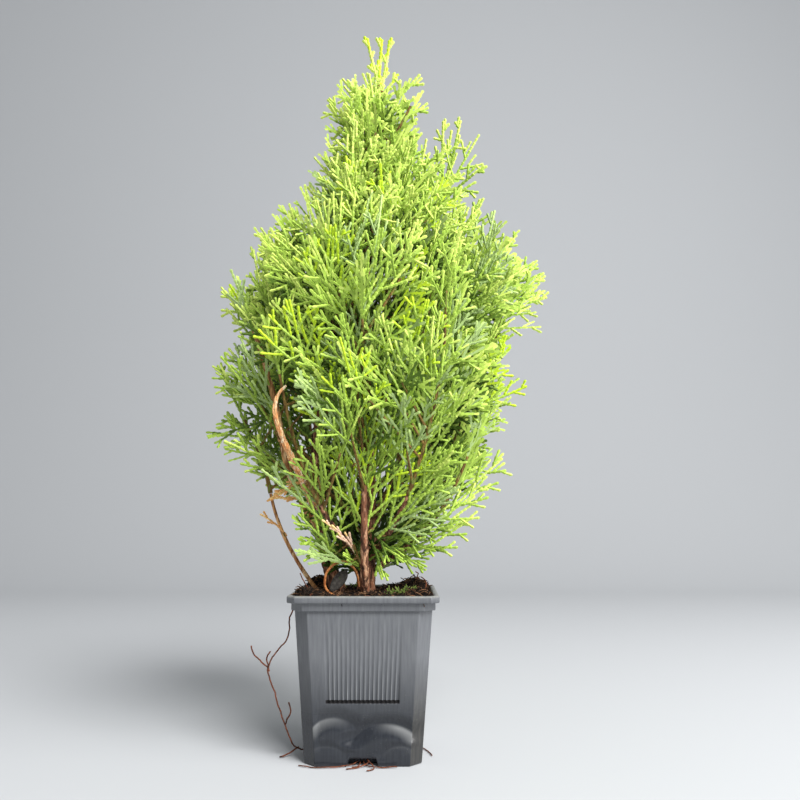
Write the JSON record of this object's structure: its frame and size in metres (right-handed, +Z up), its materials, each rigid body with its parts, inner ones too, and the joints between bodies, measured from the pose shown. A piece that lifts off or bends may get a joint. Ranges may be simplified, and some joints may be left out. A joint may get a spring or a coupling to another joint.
{
  "type": "potted thuja",
  "caption": "Young arborvitae in a square black nursery pot, with side stems rising round a main trunk and flat, scaly fronds in a pointed, uneven crown.",
  "frame": {"origin": "centre of the pot's flat underside", "axes": "+Z up along the plant, +X to the right and +Y away in the view that the picture shows"},
  "size_m": [0.2157, 0.1847, 0.4786],
  "materials": {
    "pot": "charcoal, dull, worn grey along the lip",
    "soil": "dark brown fibrous peat",
    "bark": "reddish brown, flaky, dull",
    "foliage": "green scale leaves, lime at the tips, slightly glossy"
  },
  "bodies": {
    "root": {"bough_back": "bark", "bough_back_left": "bark", "bough_back_right": "bark", "bough_front": "bark", "bough_front_left": "bark", "bough_front_right": "bark", "bough_left": "bark", "bough_left_low": "bark", "bough_left_mid": "bark", "bough_right": "bark", "bough_right_leader": "bark", "bough_right_low": "bark", "foliage_back": "foliage", "foliage_back_left": "foliage", "foliage_back_right": "foliage", "foliage_crest_1": "foliage", "foliage_crest_2": "foliage", "foliage_crest_3": "foliage", "foliage_front": "foliage", "foliage_front_left": "foliage", "foliage_front_right": "foliage", "foliage_inner_1": "foliage", "foliage_inner_2": "foliage", "foliage_inner_3": "foliage", "foliage_inner_4": "foliage", "foliage_left": "foliage", "foliage_left_low": "foliage", "foliage_left_mid": "foliage", "foliage_low_1": "foliage", "foliage_low_2": "foliage", "foliage_low_3": "foliage", "foliage_low_4": "foliage", "foliage_middle_1": "foliage", "foliage_middle_2": "foliage", "foliage_middle_3": "foliage", "foliage_middle_4": "foliage", "foliage_neck_1": "foliage", "foliage_neck_2": "foliage", "foliage_neck_3": "foliage", "foliage_right": "foliage", "foliage_right_leader": "foliage", "foliage_right_low": "foliage", "foliage_shoulder_1": "foliage", "foliage_shoulder_2": "foliage", "foliage_shoulder_3": "foliage", "foliage_shoulder_4": "foliage", "foliage_skirt_1": "foliage", "foliage_skirt_2": "foliage", "foliage_skirt_3": "foliage", "foliage_skirt_4": "foliage", "foliage_tip": "foliage", "foliage_upper_1": "foliage", "foliage_upper_2": "foliage", "foliage_upper_3": "foliage", "foliage_upper_4": "foliage", "pot": "pot", "soil": "soil", "trunk": "bark"}
  },
  "joints": []
}
